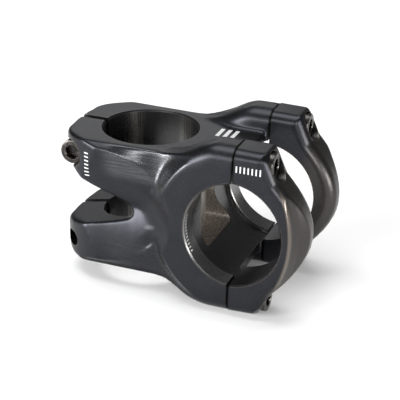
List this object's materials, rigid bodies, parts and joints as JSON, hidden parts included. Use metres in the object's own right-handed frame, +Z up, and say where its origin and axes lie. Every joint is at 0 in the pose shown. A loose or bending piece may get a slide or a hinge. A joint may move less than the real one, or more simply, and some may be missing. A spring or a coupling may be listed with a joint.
{
  "type": "handlebar stem",
  "caption": "Short-reach split-clamp handlebar stem with paired bar caps, a notched steerer clamp and opposed clamp bolts.",
  "frame": {"origin": "on the steerer axis at the stem's base face, where it rests on the spacer or headset cover", "axes": "+X forwards to the handlebar, +Y to the rider's left, +Z up along the steerer"},
  "size_m": [0.0788, 0.046, 0.0514],
  "materials": {
    "body_anodised": "bead-blasted and black anodised, with machined hollows",
    "cap_anodised": "black anodised satin with warm bright edges",
    "bolt_steel": "black oxide, oiled",
    "washer_steel": "blackened, lightly worn"
  },
  "bodies": {
    "stem": {"stem_body": "body_anodised"},
    "right_cap": {"right_bar_cap": "cap_anodised", "right_upper_cap_washer": "washer_steel", "right_lower_cap_washer": "washer_steel"},
    "right_upper_screw": {"right_upper_cap_bolt": "bolt_steel"},
    "right_lower_screw": {"right_lower_cap_bolt": "bolt_steel"},
    "left_cap": {"left_bar_cap": "cap_anodised", "left_upper_cap_washer": "washer_steel", "left_lower_cap_washer": "washer_steel"},
    "left_upper_screw": {"left_upper_cap_bolt": "bolt_steel"},
    "left_lower_screw": {"left_lower_cap_bolt": "bolt_steel"},
    "upper_clamp_washer": {"upper_steerer_washer": "washer_steel"},
    "upper_clamp_screw": {"upper_steerer_bolt": "bolt_steel"},
    "lower_clamp_washer": {"lower_steerer_washer": "washer_steel"},
    "lower_clamp_screw": {"lower_steerer_bolt": "bolt_steel"}
  },
  "joints": [
    {"name": "right_cap_lift", "type": "slide", "parent": "stem", "child": "right_cap", "axis": [1, 0, 0], "range_m": [0, 0.0088]},
    {"name": "right_upper_bolt_turn", "type": "hinge", "parent": "right_cap", "child": "right_upper_screw", "pos_m": [0.0404, -0.017, 0.0415], "axis": [1, 0, 0], "range_deg": [0, 3960.1]},
    {"name": "right_lower_bolt_turn", "type": "hinge", "parent": "right_cap", "child": "right_lower_screw", "pos_m": [0.0404, -0.017, -0.0004], "axis": [1, 0, 0], "range_deg": [0, 3960.1]},
    {"name": "left_cap_lift", "type": "slide", "parent": "stem", "child": "left_cap", "axis": [1, 0, 0], "range_m": [0, 0.0088]},
    {"name": "left_upper_bolt_turn", "type": "hinge", "parent": "left_cap", "child": "left_upper_screw", "pos_m": [0.0404, 0.017, 0.0415], "axis": [1, 0, 0], "range_deg": [0, 3960.1]},
    {"name": "left_lower_bolt_turn", "type": "hinge", "parent": "left_cap", "child": "left_lower_screw", "pos_m": [0.0404, 0.017, -0.0004], "axis": [1, 0, 0], "range_deg": [0, 3960.1]},
    {"name": "upper_clamp_lift", "type": "slide", "parent": "stem", "child": "upper_clamp_washer", "axis": [0, -1, 0], "range_m": [0, 0.008]},
    {"name": "upper_clamp_bolt_turn", "type": "hinge", "parent": "upper_clamp_washer", "child": "upper_clamp_screw", "pos_m": [-0.0193, -0.0102, 0.0338], "axis": [0, -1, 0], "range_deg": [0, 3600.1]},
    {"name": "lower_clamp_lift", "type": "slide", "parent": "stem", "child": "lower_clamp_washer", "axis": [0, 1, 0], "range_m": [0, 0.008]},
    {"name": "lower_clamp_bolt_turn", "type": "hinge", "parent": "lower_clamp_washer", "child": "lower_clamp_screw", "pos_m": [-0.0193, 0.0102, 0.0058], "axis": [0, 1, 0], "range_deg": [0, 3600.1]}
  ],
  "couplings": [
    {"joint": "right_upper_bolt_turn", "follows": "right_cap_lift", "rad_per_m": 7854},
    {"joint": "right_lower_bolt_turn", "follows": "right_cap_lift", "rad_per_m": 7854},
    {"joint": "left_upper_bolt_turn", "follows": "left_cap_lift", "rad_per_m": 7854},
    {"joint": "left_lower_bolt_turn", "follows": "left_cap_lift", "rad_per_m": 7854},
    {"joint": "upper_clamp_bolt_turn", "follows": "upper_clamp_lift", "rad_per_m": 7854},
    {"joint": "lower_clamp_bolt_turn", "follows": "lower_clamp_lift", "rad_per_m": 7854}
  ]
}
